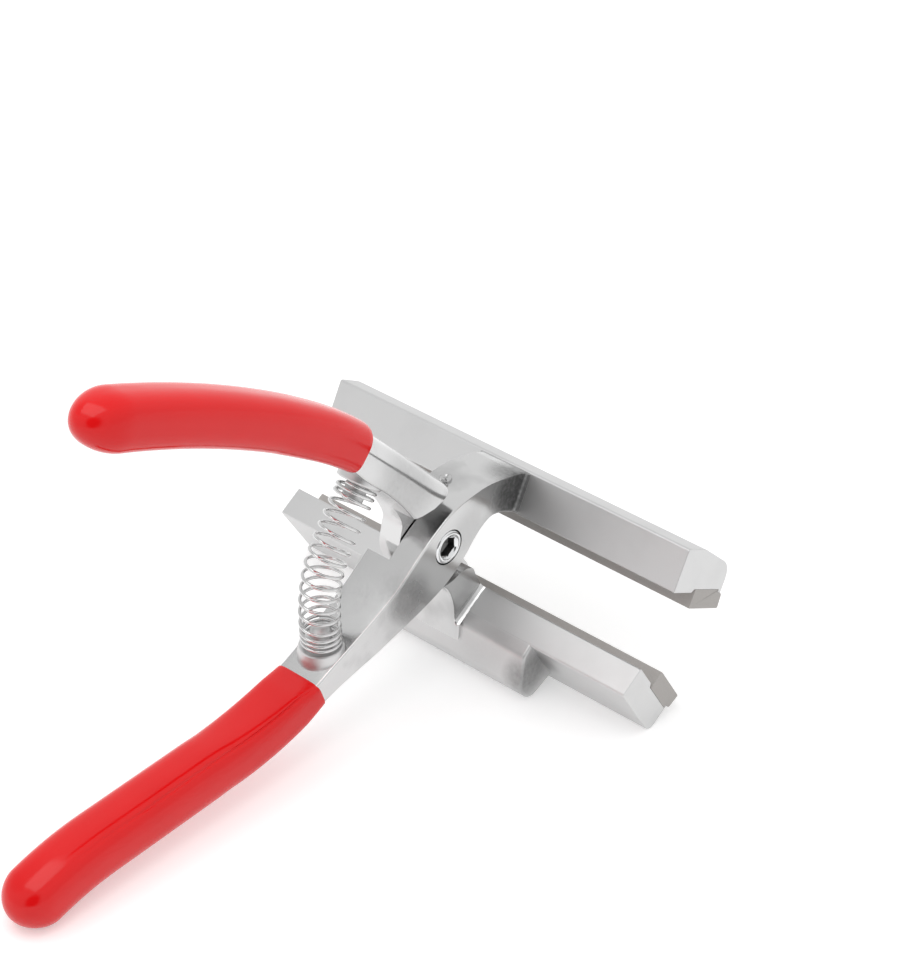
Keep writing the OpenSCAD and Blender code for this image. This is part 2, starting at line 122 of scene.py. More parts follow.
def path_at(start, heading, pieces, s):
    """Place (y, z) and heading at lengths s along straights and bends. On a bend of curvature k
    that turns from a to b the place moves by (sin b - sin a, cos a - cos b) / k."""
    s = np.asarray(s, float)
    out = np.zeros((s.size, 3))
    p, a, done = np.array(start, float), math.radians(heading), 0.0
    for i, (length, turn) in enumerate(pieces):
        here = s >= done
        if i < len(pieces) - 1:
            here &= s < done + length
        run = np.append(s[here] - done, length)
        k = math.radians(turn) / length
        b = a + k * run
        if turn:
            move = np.stack([np.sin(b) - math.sin(a), math.cos(a) - np.cos(b)], -1) / k
        else:
            move = run[:, None] * np.array([math.cos(a), math.sin(a)])
        out[here] = np.column_stack([p + move[:-1], b[:-1]])
        p, a, done = p + move[-1], b[-1], done + length
    return out


def side_points(handle, s, b):
    """Points at height b over a handle's path, where (sin a, -cos a) is the direction away
    from its underside."""
    q = path_at(*handle, s)
    return q[:, :2] + np.asarray(b)[:, None] * np.stack([np.sin(q[:, 2]), -np.cos(q[:, 2])], -1)


def unit(vectors):
    """Each row at the length 1."""
    return vectors / np.linalg.norm(vectors, axis=1, keepdims=True)


def rounded(corners, steps=5):
    """Outline of a polygon of corners (y, z, r) with an arc of radius r in each, and the
    outward normals. The arc's centre lies at r / sin(half the corner's angle) along the line
    that halves the angle."""
    c = np.asarray(corners, float)
    p, r = c[:, :2], c[:, 2:]
    area = (p[:, 0] * np.roll(p[:, 1], -1) - p[:, 1] * np.roll(p[:, 0], -1)).sum()
    u, v = unit(np.roll(p, 1, 0) - p), unit(np.roll(p, -1, 0) - p)
    half = np.arccos(np.clip((u * v).sum(1, keepdims=True), -1, 1)) / 2
    centre = p + unit(u + v) * r / np.sin(half)
    first = (p + u * r / np.tan(half) - centre) / r
    turn = np.sign(v[:, :1] * u[:, 1:] - v[:, 1:] * u[:, :1])
    angle = turn * (math.pi - 2 * half) * np.linspace(0, 1, steps + 1)[None]
    cos, sin = np.cos(angle)[..., None], np.sin(angle)[..., None]
    ray = first[:, None] * cos + np.stack([-first[:, 1], first[:, 0]], -1)[:, None] * sin
    points = centre[:, None] + ray * r[:, None]
    normals = ray * (turn * np.sign(area))[:, None]
    return points.reshape(-1, 2), normals.reshape(-1, 2)


def shell(rings):
    """Points and faces of a closed shell: quads join each ring to the next, and a flat face
    closes each end. Where the sum of a . (b x c) over its triangles, six times its volume, is
    negative, the faces are turned to point outwards."""
    rings = np.asarray(rings, float)
    m, n = rings.shape[:2]
    i, j = np.arange(m - 1)[:, None] * n, np.arange(n)[None]
    k = (j + 1) % n
    quads = np.stack([i + j, i + k, i + n + k, i + n + j], -1).reshape(-1, 4)
    caps = np.stack([np.arange(n)[::-1], (m - 1) * n + np.arange(n)])
    points = rings.reshape(-1, 3)
    fans = [np.stack([np.full(n - 2, c[0]), c[1:-1], c[2:]], -1) for c in caps]
    triangles = np.concatenate([quads[:, :3], quads[:, [0, 2, 3]], *fans])
    a, b, c = np.moveaxis(points[triangles] - points.mean(0), 1, 0)
    faces = quads.tolist() + caps.tolist()
    if (a * np.cross(b, c)).sum() < 0:
        faces = [f[::-1] for f in faces]
    return points, faces


def prism(corners, x0, x1, edge):
    """A rounded outline carried along X, with its end edges rounded: at angle a the ring lies
    edge (1 - sin a) inside the end and is drawn in by edge (1 - cos a). One more ring just
    inside keeps the end face flat."""
    points, normals = rounded(corners)
    a = np.radians(np.linspace(0, 90, 5))
    inset = np.append(edge * (1 - np.cos(a)), edge + 0.08)
    back = np.append(edge * (1 - np.sin(a)), 0)
    x = np.concatenate([x0 + back[::-1], x1 - back])
    inset = np.concatenate([inset[::-1], inset])
    rings = points[None] - normals[None] * inset[:, None, None]
    return np.concatenate([np.broadcast_to(x[:, None, None], rings.shape[:2] + (1,)), rings], -1)


def turned(profile, place_at, heading, count=64):
    """A profile of (radius, height) turned about an axis in the plane x = 0 that starts at
    place_at and points along heading: (r sin t, r cos t) across the axis and the height
    along it."""
    p = np.asarray(profile, float)
    t = np.linspace(0, 2 * math.pi, count, endpoint=False)[None]
    r, h = p[:, :1], p[:, 1:]
    c, s = math.cos(heading), math.sin(heading)
    y = place_at[0] + h * c - r * np.cos(t) * s
    z = place_at[1] + h * s + r * np.cos(t) * c
    return np.stack([r * np.sin(t), y, z], -1)


def across(profile, count=72):
    """A profile of (radius, x) turned about the pivot. A radius may change with the angle."""
    t = np.linspace(0, 2 * math.pi, count, endpoint=False)
    return np.stack([np.stack([np.broadcast_to(x, t.shape), r * np.cos(t), r * np.sin(t)], -1)
                     for r, x in profile])


def lever_half(y, half):
    """Half width of a lever at y: wide at the pivot and narrower at the strap."""
    return np.interp(y, [-150, -26, -8], [strap_half - 1, strap_half, half])


def neck_flare(y):
    """Growth of a lever's side into its jaw, a fillet of radius f: f - sqrt(f^2 - t^2) at t
    past the fillet's start."""
    t = np.clip(y - jaw_back + neck_fillet, 0, neck_fillet)
    return neck_fillet - np.sqrt(neck_fillet**2 - t**2)


def bar_rings(outer, inner, half, crown, flat=6, inner_r=0.55, arc=7):
    """Rings of a cast bar. Each is a box from -half to half along X and from the outer to the
    inner edge, whose corners have the radius inner_r, and inner_r + 0.9 crown on the outer
    side. That side falls by crown (x / half)^2 (1 - depth share) to make a round back. Last, x
    grows by neck_flare(y) (x / half)^4 where the bar meets its jaw. Each corner has arc steps
    and each side has flat points."""
    depth = np.linalg.norm(inner - outer, axis=1)
    direction = (inner - outer) / depth[:, None]
    half, depth, crown = half[:, None], depth[:, None], crown[:, None]
    share = (np.arange(1, flat + 1) / (flat + 1))[None]

    def joined(arcs):
        """Four corner arcs with the points of a straight side after each."""
        after = arcs[1:] + arcs[:1]
        sides = [a[:, -1:] + (b[:, :1] - a[:, -1:]) * share for a, b in zip(arcs, after)]
        return np.concatenate([q for pair in zip(arcs, sides) for q in pair], 1)

    x_arcs, c_arcs = [], []
    for k, (x_side, c_side) in enumerate([(1, 1), (-1, 1), (-1, -1), (1, -1)]):
        a = np.radians(90 * k + np.linspace(0, 90, arc + 1))[None]
        r = inner_r + 0.9 * crown * (c_side < 0)
        x_arcs.append(x_side * (half - r) + r * np.cos(a))
        c_arcs.append(depth / 2 + c_side * (depth / 2 - r) + r * np.sin(a))
    x, c = joined(x_arcs), joined(c_arcs)
    c = c + crown * (x / half)**2 * (1 - c / depth)
    yz = outer[:, None] + direction[:, None] * c[..., None]
    x = x + np.sign(x) * neck_flare(yz[..., 0]) * (x / half)**4
    return np.concatenate([x[..., None], yz], -1)


# Making pieces

def new_object(name, shells, tilt):
    """One object from closed shells, with its place in its mesh."""
    points = [place(p, tilt) for p, _ in shells]
    starts = np.cumsum([0] + [len(p) for p in points])
    faces = [[i + int(n) for i in f] for (_, fs), n in zip(shells, starts) for f in fs]
    mesh = bpy.data.meshes.new(name)
    mesh.from_pydata(np.concatenate(points), [], faces)
    obj = bpy.data.objects.new(name, mesh)
    scene.collection.objects.link(obj)
    return obj


def cut(obj, shells, tilt):
    """Takes closed shells out of an object with an exact Boolean, as a cutter does in the real
    casting."""
    tools = [new_object("cutter", [s], tilt) for s in shells]
    for tool in tools:
        step = obj.modifiers.new("cut", "BOOLEAN")
        step.operation, step.solver, step.object = "DIFFERENCE", "EXACT", tool
    evaluated = obj.evaluated_get(bpy.context.evaluated_depsgraph_get())
    result = bpy.data.meshes.new_from_object(evaluated)
    result.name = obj.name
    obj.modifiers.clear()
    obj.data = result
    for tool in tools:
        bpy.data.objects.remove(tool)


def finish(obj, body, stands_for, slot, material, sharp=33, weighted=True):
    """Smooth shading with sharp edges over an angle, the material, and the piece's place in the
    frame. A piece without a body is left without a parent."""
    obj.data.materials.clear()
    obj.data.materials.append(material)
    obj.data.shade_smooth()
    obj.data.set_sharp_from_angle(angle=math.radians(sharp))
    if weighted:
        normals = obj.modifiers.new("flat_faces", "WEIGHTED_NORMAL")
        normals.keep_sharp, normals.weight = True, 80
    if body:
        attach(obj, body)
    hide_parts(stands_for)
    return obj


def add_piece(name, rings, tilt, *place_and_look, **shading):
    """A piece of one closed shell."""
    return finish(new_object(name, [shell(rings)], tilt), *place_and_look, **shading)


# Materials

def linear(code):
    """An sRGB hex colour as linear light: c / 12.92 below 0.04045, else
    ((c + 0.055) / 1.055)^2.4."""
    c = np.array([int(code[i:i + 2], 16) for i in (1, 3, 5)]) / 255
    return (*np.where(c <= 0.04045, c / 12.92, ((c + 0.055) / 1.055)**2.4).tolist(), 1.0)


def node(tree, kind, settings=None, links=None):
    """Adds a node, sets its properties and unlinked inputs, and joins its inputs to other
    nodes' outputs."""
    n = tree.nodes.new(kind)
    for key, value in (settings or {}).items():
        if isinstance(key, str) and hasattr(n, key):
            setattr(n, key, value)
        else:
            n.inputs[key].default_value = value
    for key, source in (links or {}).items():
        tree.links.new(source, n.inputs[key])
    return n


def new_material(name):
    """A material without nodes, and its tree."""
    material = bpy.data.materials.new(name)
    material.use_nodes = True
    material.node_tree.nodes.clear()
    return material, material.node_tree


# Patches of painted shade, which also dull the plate like cast skin: centre, radius and strength.
# On the upper lever the neck's corner, the hub and the strap, on the lower one the tang and the
# shoulder
lever_painted_shade = [(place([7.6, 19.8, 15.5], upper_tilt), 12.0, 0.95),
              (place([7.6, 6, 5], upper_tilt), 9.0, 0.2),
              (place([6.8, -9.5, -14], upper_tilt), 10.0, 0.5),
              (place([7.2, -28, 1], lower_tilt), 17.0, 0.28),
              (place([7.2, 21, -6], lower_tilt), 7.0, 0.3)]
# and on the ground parts the foot of the spring's seat and the block's rear and end
ground_painted_shade = [(place([4, -35.5, -34], upper_tilt), 5.5, 0.6),
               (place([17, 23.5, -13], lower_tilt), 14.0, 0.1),
               (place([30, 31, -12], lower_tilt), 9.0, 0.6)]


def nickel_plate(name, smoothest, dullest, clouds, painted_shade_patches):
    # Nickel plate on a casting: a soft grey mirror with a faint grain of 0.5 mm and cloudy
    # duller patches some 12 mm wide. In a few listed patches the plate turns duller, with the
    # sandy grain of 1.1 mm of cast skin, and darker as painted shade where its reflection shows dark
    material, tree = new_material(name)
    at = node(tree, "ShaderNodeTexCoord").outputs["Object"]
    grain = node(tree, "ShaderNodeTexNoise", {"Scale": 2 * PER_MM, "Detail": 2.0}, {"Vector": at})
    cloud = node(tree, "ShaderNodeTexNoise", {"Scale": 0.08 * PER_MM, "Detail": 3.0}, {"Vector": at})
    sand = node(tree, "ShaderNodeTexNoise", {"Scale": 0.9 * PER_MM, "Detail": 3.0}, {"Vector": at})
    clouds_and_painted_shade = node(tree, "ShaderNodeMapRange",
                {"From Min": 0.5, "From Max": 0.75, "To Max": clouds},
                {"Value": cloud.outputs["Fac"]}).outputs["Result"]
    spotty = node(tree, "ShaderNodeMath", {"operation": "MULTIPLY_ADD", 1: 0.7, 2: 0.65},
                  {0: sand.outputs["Fac"]})
    # each patch is painted shade: a darker colour, and a duller plate with the sandy grain
    for centre, radius, amount in painted_shade_patches:
        away = node(tree, "ShaderNodeVectorMath", {"operation": "DISTANCE", 1: centre.tolist()},
                    {0: at})
        patch = node(tree, "ShaderNodeMapRange", {
            "interpolation_type": "SMOOTHSTEP", "From Min": 0.3 * radius * MM,
            "From Max": radius * MM, "To Min": amount, "To Max": 0.0},
            {"Value": away.outputs["Value"]})
        patch = node(tree, "ShaderNodeMath", {"operation": "MULTIPLY"},
                     {0: patch.outputs["Result"], 1: spotty.outputs["Value"]})
        clouds_and_painted_shade = node(tree, "ShaderNodeMath", {"operation": "MAXIMUM"},
                    {0: clouds_and_painted_shade, 1: patch.outputs["Value"]}).outputs["Value"]
    rough = node(tree, "ShaderNodeMapRange", {"To Min": smoothest, "To Max": dullest},
                 {"Value": clouds_and_painted_shade})
    # the plate's grey darkens with the random clouds and with the patches of painted shade
    colour = node(tree, "ShaderNodeValToRGB", None, {"Fac": clouds_and_painted_shade})
    colour.color_ramp.elements[0].color = linear("#D2D2D2")
    colour.color_ramp.elements[1].color = linear("#6E6E6E")
    bump = node(tree, "ShaderNodeBump", {"Strength": 0.06, "Distance": 0.05 * MM},
                {"Height": grain.outputs["Fac"]})
    bump = node(tree, "ShaderNodeBump", {"Distance": 0.06 * MM}, {
        "Height": sand.outputs["Fac"], "Normal": bump.outputs["Normal"], "Strength": clouds_and_painted_shade})
    shader = node(tree, "ShaderNodeBsdfPrincipled", {"Metallic": 1.0},
                  {"Base Color": colour.outputs["Color"], "Roughness": rough.outputs["Result"],
                   "Normal": bump.outputs["Normal"]})
    node(tree, "ShaderNodeOutputMaterial", None, {"Surface": shader.outputs["BSDF"]})
    return material


def chrome_plate():
    # Chrome plate on a turned screw: a near mirror with a very fine grain of 0.4 mm
    material, tree = new_material("chrome_plated_screw")
    at = node(tree, "ShaderNodeTexCoord").outputs["Object"]
    grain = node(tree, "ShaderNodeTexNoise", {"Scale": 2.5 * PER_MM, "Detail": 1.0},
                 {"Vector": at})
    bump = node(tree, "ShaderNodeBump", {"Strength": 0.03, "Distance": 0.03 * MM},
                {"Height": grain.outputs["Fac"]})
    shader = node(tree, "ShaderNodeBsdfPrincipled",
                  {"Base Color": linear("#E2E3E4"), "Metallic": 1.0, "Roughness": 0.13},
                  {"Normal": bump.outputs["Normal"]})
    node(tree, "ShaderNodeOutputMaterial", None, {"Surface": shader.outputs["BSDF"]})
    return material


def paint_socket_shade():
    # Painted shade in the screw's socket: a dark grey put in the deep recess where shade falls,
    # with a dull gloss and a grain of 0.55 mm
    material, tree = new_material("painted_shade_socket")
    at = node(tree, "ShaderNodeTexCoord").outputs["Object"]
    grain = node(tree, "ShaderNodeTexNoise", {"Scale": 1.8 * PER_MM, "Detail": 2.0},
                 {"Vector": at})
    rough = node(tree, "ShaderNodeMapRange",
                 {"From Min": 0.3, "From Max": 0.7, "To Min": 0.25, "To Max": 0.45},
                 {"Value": grain.outputs["Fac"]})
    shader = node(tree, "ShaderNodeBsdfPrincipled",
                  {"Base Color": linear("#6A6A6A"), "Metallic": 1.0},
                  {"Roughness": rough.outputs["Result"]})
    node(tree, "ShaderNodeOutputMaterial", None, {"Surface": shader.outputs["BSDF"]})
    return material


def spring_wire():
    # Drawn and plated spring wire: bright, with faint duller spots of 0.7 mm
    material, tree = new_material("drawn_spring_wire")
    at = node(tree, "ShaderNodeTexCoord").outputs["Object"]
    spots = node(tree, "ShaderNodeTexNoise", {"Scale": 1.5 * PER_MM, "Detail": 2.0},
                 {"Vector": at})
    rough = node(tree, "ShaderNodeMapRange",
                 {"From Min": 0.3, "From Max": 0.7, "To Min": 0.08, "To Max": 0.18},
                 {"Value": spots.outputs["Fac"]})
    shader = node(tree, "ShaderNodeBsdfPrincipled",
                  {"Base Color": linear("#D2D2D2"), "Metallic": 1.0},
                  {"Roughness": rough.outputs["Result"]})
    node(tree, "ShaderNodeOutputMaterial", None, {"Surface": shader.outputs["BSDF"]})
    return material


def pad_rubber():
    # Moulded rubber: matt and warm grey, with a fine moulded grain of 0.4 mm
    material, tree = new_material("moulded_pad_rubber")
    at = node(tree, "ShaderNodeTexCoord").outputs["Object"]
    grain = node(tree, "ShaderNodeTexNoise", {"Scale": 2.5 * PER_MM, "Detail": 3.0},
                 {"Vector": at})
    colour = node(tree, "ShaderNodeValToRGB", None, {"Fac": grain.outputs["Fac"]})
    colour.color_ramp.elements[0].color = linear("#AFABA7")
    colour.color_ramp.elements[1].color = linear("#BFBBB8")
    bump = node(tree, "ShaderNodeBump", {"Strength": 0.25, "Distance": 0.06 * MM},
                {"Height": grain.outputs["Fac"]})
    shader = node(tree, "ShaderNodeBsdfPrincipled", {"Roughness": 0.65, "IOR": 1.52},
                  {"Base Color": colour.outputs["Color"], "Normal": bump.outputs["Normal"]})
    node(tree, "ShaderNodeOutputMaterial", None, {"Surface": shader.outputs["BSDF"]})
    return material


def dipped_vinyl():
    # Hot-dipped vinyl: deep glossy red that levelled as it set, with slow waves of about 12 mm
    material, tree = new_material("dipped_red_vinyl")
    at = node(tree, "ShaderNodeTexCoord").outputs["Object"]
    wave = node(tree, "ShaderNodeTexNoise", {"Scale": 0.08 * PER_MM, "Detail": 1.0},
                {"Vector": at})
    colour = node(tree, "ShaderNodeValToRGB", None, {"Fac": wave.outputs["Fac"]})
    colour.color_ramp.elements[0].color = linear("#E00D10")
    colour.color_ramp.elements[1].color = linear("#E81417")
    slow = node(tree, "ShaderNodeBump", {"Strength": 0.2, "Distance": 0.6 * MM},
                {"Height": wave.outputs["Fac"]})
    shader = node(tree, "ShaderNodeBsdfPrincipled", {"Roughness": 0.14, "IOR": 1.41},
                  {"Base Color": colour.outputs["Color"], "Normal": slow.outputs["Normal"]})
    node(tree, "ShaderNodeOutputMaterial", None, {"Surface": shader.outputs["BSDF"]})
    return material


polished = nickel_plate("polished_nickel_casting", 0.17, 0.42, 0.3, lever_painted_shade)
ground = nickel_plate("ground_nickel_casting", 0.42, 0.5, 0.06, ground_painted_shade)
# the socket's dark grey is painted shade
chrome, socket_shade = chrome_plate(), paint_socket_shade()
wire, rubber, vinyl = spring_wire(), pad_rubber(), dipped_vinyl()

scene = bpy.context.scene
scene.view_settings.view_transform = "Standard"

# The upper lever: neck, hub and strap in one bar, then its lap is cut on the far half

strap_s = np.array([17.0, 23, 29, 35, 41])
strap_b = np.interp(strap_s, [0, 12, 26, lower_mouth, 99], [7.2, 5.9, 4.4, 3.5, 2.8])
outer = [(25.4, 21.3), (20.4, 21.0), (17.4, 20.4), (8.8, 17.8), (2.8, 14.4), (-2.6, 10.2),
         (-6.2, 5.2), (-9.6, -0.6), (-12.8, -7.6), (-16.2, -14.2)]
inner = [(25.4, 10.2), (20.4, 10.0), (18.2, 9.9), (14.2, 8.7), (11.6, 5.6), (10.0, 1.8),
         (8.9, -2.0), (7.0, -6.4), (3.2, -12.0), (-4.2, -19.9)]
rows = np.hstack([np.vstack([outer, side_points(lower_handle, strap_s, strap_b)]),
                  np.vstack([inner, side_points(lower_handle, strap_s, -strap_b)])])
# the rings lie closer where the bar's fillet runs into the jaw
rows = np.vstack([smooth(rows, 24)[:24], smooth(rows, 6)[6:]])
middle_y = (rows[:, 0] + rows[:, 2]) / 2
upper_bar = bar_rings(rows[:, :2], rows[:, 2:], lever_half(middle_y, upper_half),
                      np.zeros(len(rows)))
lever = new_object("upper_lever", [shell(upper_bar)], upper_tilt)
far_lap = across([(hub_cut_r, -30), (hub_cut_r, lap)])
counterbore = across([(head_r + head_play, upper_half - head_depth), (head_r + head_play, 20)])
cut(lever, [shell(far_lap), shell(counterbore)], upper_tilt)
finish(lever, UPPER, "upper_jaw_lever", "plated_casting", polished)

# The upper jaw: a lip behind its pad and one in front, and a top that slopes to the front

upper_jaw = prism([
    (jaw_back, upper_seat - lip_h, 0.5), (jaw_back + lip_depth - lip_h, upper_seat - lip_h, 0.4),
    (jaw_back + lip_depth, upper_seat, 0.4), (jaw_front - front_lip, upper_seat, 0.3),
    (jaw_front - front_lip, upper_seat - lip_h, 0.3), (jaw_front, upper_seat - lip_h, 0.5),
    (jaw_front, upper_jaw_top - upper_jaw_drop, 5), (jaw_back + upper_flat, upper_jaw_top, 8),
    (jaw_back, upper_jaw_top, 0.7)], -jaw_w / 2, jaw_w / 2, 0.25)
add_piece("upper_jaw", upper_jaw, upper_tilt, UPPER, "upper_jaw_lever", "plated_casting", ground)

# Seats and studs of the spring. The lower seat stands on a flared foot

spring_line = ((-28.2, -29.1), 121, ((6.7, 0), (11.6, -15.2), (10.6, -23.8), (15.9, 0)))
spring_len = 44.8
seat_bottom, seat_top = path_at(*spring_line, [0, spring_len])
dome = [(stud_r * math.cos(a), stud_h + stud_r / 2 * math.sin(a))
        for a in np.radians(np.linspace(88, 0, 7))]
foot = [(stud_r, 0.5), (2.95, 0.15), (3.3, 0)]
rim = [(5.4, 0), (5.7, -0.08), (5.84, -0.25), (seat_r, -0.5)]
lower_seat_rings = turned(dome + foot + rim + [(6.0, -1.2), (6.35, -2.6), (6.4, -6.0)],
                          seat_bottom[:2], seat_bottom[2])
upper_seat_rings = turned(dome + foot + rim + [(seat_r, -3.6)],
                          seat_top[:2], seat_top[2] + math.pi)
add_piece("lower_spring_seat", lower_seat_rings, upper_tilt, UPPER, "upper_jaw_lever",
          "plated_casting", ground)

# A small cast nub with a dimple, where the far half of the neck's top begins

nub = turned([(0.05, -1.5), (0.9, -1.35), (1.5, -0.6), (1.7, 0.1), (1.55, 0.8), (1.15, 1.2),
              (0.8, 1.1), (0.5, 0.85), (0.05, 0.75)], (3.3, 14.6), math.radians(125), 32)
nub_x = -2.3
add_piece("neck_nub", nub + [nub_x, 0, 0], upper_tilt, UPPER, "upper_jaw_lever",
          "plated_casting", polished, sharp=60)

# The lower lever: tang, hub and neck in one bar with a round back on the tang. A row holds the
# outer edge, the inner edge and the crown of the back

rows = [
    (-53, 2.6, -51.5, -7.2, 2.4), (-44, 4.6, -42.4, -6.0, 2.4), (-35, 6.6, -33.2, -3.9, 2.4),
    (-26, 8.5, -24.4, -2.7, 2.4), (-18, 10.2, -16.8, -2.45, 2.4), (-11.4, 11.5, -11.6, -3.2, 2.0),
    (-6, 10.7, -9.0, -5.4, 1.0), (-1, 10.2, -5.4, -8.6, 0.2), (4.2, 9.4, 0, -10.1, 0),
    (9, 6.8, 5.4, -9.0, 0), (14, 5.0, 11, -7.3, 0), (19.4, 4.4, 16.5, -8.2, 0),
    (23.2, 4.3, 21, -10.3, 0), (25.2, 3.0, 24.6, -12.4, 0), (26.4, 0.4, 27, -14.2, 0)]
# the rings lie closer on the last three rows, where the bar's fillet runs into the jaw
rows = np.vstack([smooth(rows, 6)[:-19], smooth(rows, 24)[-73:]])
middle_y = (rows[:, 0] + rows[:, 2]) / 2
lower_bar = bar_rings(rows[:, :2], rows[:, 2:4], lever_half(middle_y, lower_half),
                      np.maximum(rows[:, 4], 0), flat=18)
lever = new_object("lower_lever", [shell(lower_bar)], lower_tilt)
# the near half is cut round the hub, along a bent line behind the strap and over the shoulder
lap_corners = [(0, 0, 1), (-8.2, -14, 1), (-21.5, -6, 1), (-16.4, -0.4, 3), (-14, 3.6, 3),
               (-12.9, 8, 1), (-9.4, 18, 1), (4, 20, 1), (16, 12, 1), (12, -1, 1)]
shoulder_corners = [(27, 0.9, 0.2), (24, 1.0, 1), (18.4, 1.5, 2), (15.4, 2.2, 1.5),
                    (13.2, 0.6, 1.5), (10.6, -3, 1), (8, -3, 1), (8, 14, 1), (30, 14, 1)]
near_lap = across([(near_cut_r, -lap), (near_cut_r, 20)])
cut(lever, [shell(near_lap), shell(prism(lap_corners, -lap, 20, 0.01)),
            shell(prism(shoulder_corners, 0, 20, 0.01))], lower_tilt)
finish(lever, LOWER, "lower_jaw_lever", "plated_casting", polished)

# The lower jaw, set back a little from the upper one, and the block under it

lower_front = jaw_front - lower_set_back
lower_jaw = prism([
    (jaw_back, lower_seat + lip_h, 0.5), (jaw_back + lip_depth - lip_h, lower_seat + lip_h, 0.4),
    (jaw_back + lip_depth, lower_seat, 0.4), (jaw_front - front_lip, lower_seat, 0.25),
    (jaw_front - front_lip, lower_seat + lip_h, 0.25), (lower_front, lower_seat + lip_h, 0.25),
    (lower_front, lower_jaw_low, 2.5), (jaw_back, lower_jaw_low, 0.6)],
    -jaw_w / 2, jaw_w / 2, 0.25)
add_piece("lower_jaw", lower_jaw, lower_tilt, LOWER, "lower_jaw_lever", "plated_casting", ground)

block = prism([
    (jaw_back + 0.06, lower_jaw_low + 1.8, 0.3), (jaw_back + 0.06, lower_jaw_low, 1.5),
    (jaw_back + 0.6, lower_jaw_low - 3.4, 3), (jaw_back + 7.9, block_low, 3),
    (jaw_back + block_depth - 1.8, block_low, 3.6),
    (jaw_back + block_depth, lower_jaw_low + 2, 0.3)], -block_w / 2, block_w / 2, 0.8)
add_piece("jaw_block", block, lower_tilt, LOWER, "lower_jaw_lever", "plated_casting", ground)
add_piece("upper_spring_seat", upper_seat_rings, upper_tilt, LOWER, "lower_jaw_lever",
          "plated_casting", ground)

# Pads: one outline, and its mirror image for the other jaw

pad = [(0, 0, 0.35), (pad_depth, 0, 0.35), (pad_depth - 0.5, 3.9, 0.4),
       (pad_depth - 1.3, pad_step_t, 0.4), (pad_step_y, pad_step_t, 0.1),
       (pad_step_y, pad_t, 0.1), (0, pad_t, 0.2)]
upper_pad = [(pad_back + y, meet_h + z, r) for y, z, r in pad]
lower_pad = [(pad_back + y, meet_h - z, r) for y, z, r in pad]
add_piece("upper_pad", prism(upper_pad, -jaw_w / 2, jaw_w / 2, 0.1), upper_tilt, UPPER,
          "upper_jaw_pad", "pad_rubber", rubber)
add_piece("lower_pad", prism(lower_pad, -jaw_w / 2, jaw_w / 2, 0.1), lower_tilt, LOWER,
          "lower_jaw_pad", "pad_rubber", rubber)


# Grips

def grip_rings(handle, mouth, total, half_heights, end_r, mouth_e, crease=0, steps=60, count=144):
    """A superellipse |x / a|^e + |v / b|^e = 1 carried along the handle. e is mouth_e at the
    mouth, for the under side and the top, and falls to grip_e over the first third. The mouth
    has a round lip, and the end closes by the cosine of an angle as the place moves by its
    sine. A crease draws the section in by crease exp(-((t - t0) / w)^2) along its near upper
    edge."""
    third = mouth + (total - mouth) / 3
    crease_t, crease_w = 0.86, 0.05
    crease_from_mouth, crease_share = [1, 8, 55, 85], [0, 1, 0.8, 0]

    lip = np.radians(np.array([0, 30, 60]))
    s = np.concatenate([[mouth + 2.0, mouth + 0.05], mouth + grip_lip * (1 - np.cos(lip)),
                        np.linspace(mouth + grip_lip, total - end_r, steps)])
    draw = np.concatenate([[1.2, 1.0], grip_lip * (1 - np.sin(lip)), np.zeros(steps)])
    a = np.radians(np.linspace(5, 89, 16))
    end_s, f = total - end_r + end_r * np.sin(a), np.cos(a)

    t = np.linspace(0, 2 * math.pi, count, endpoint=False)[None] + 0.01
    cos, sin = np.cos(t), np.sin(t)
    first = np.where(sin > 0, mouth_e[1], mouth_e[0])
    e = first + (grip_e - first) * np.interp(s, [mouth, third], [0, 1])[:, None]
    end_e = np.broadcast_to((grip_e - 0.7 * np.sin(a))[:, None], (len(a), count))
    e = np.concatenate([e, end_e])
    heights = np.transpose(half_heights)
    wide = np.concatenate([grip_w / 2 - draw, grip_w / 2 * f])
    tall = np.concatenate([np.interp(s, *heights) - draw, np.interp(end_s, *heights) * f])
    x = wide[:, None] * np.sign(cos) * np.abs(cos)**(2 / e)
    v = tall[:, None] * np.sign(sin) * np.abs(sin)**(2 / e)

    along = np.concatenate([s, end_s])[:, None]
    groove = crease * np.interp(along - mouth, crease_from_mouth, crease_share)
    groove = groove * np.exp(-((t - crease_t) / crease_w)**2)
    x, v = x * (1 - groove / grip_w * 2), v * (1 - groove / grip_w * 2)
    q = path_at(*handle, along[:, 0])[:, None]
    return np.stack([x, q[..., 0] + v * np.sin(q[..., 2]), q[..., 1] - v * np.cos(q[..., 2])], -1)


lower_grip = grip_rings(
    lower_handle, lower_mouth, lower_len,
    [(lower_mouth, 4.1), (43.8, 5.6), (51.8, 6.1), (72.8, 7.2), (lower_len, 7.2)],
    7.8, (4.8, 4.8), crease=0.35)
upper_grip = grip_rings(
    upper_handle, upper_mouth, upper_len,
    [(upper_mouth, 6.3), (64.6, 6.7), (upper_len, 7.0)], 10.4, (4.8, 2.5))
add_piece("lower_dipped_grip", lower_grip, upper_tilt, UPPER, "lower_grip", "red_dip", vinyl)
add_piece("upper_dipped_grip", upper_grip, lower_tilt, LOWER, "upper_grip", "red_dip", vinyl)


# Spring

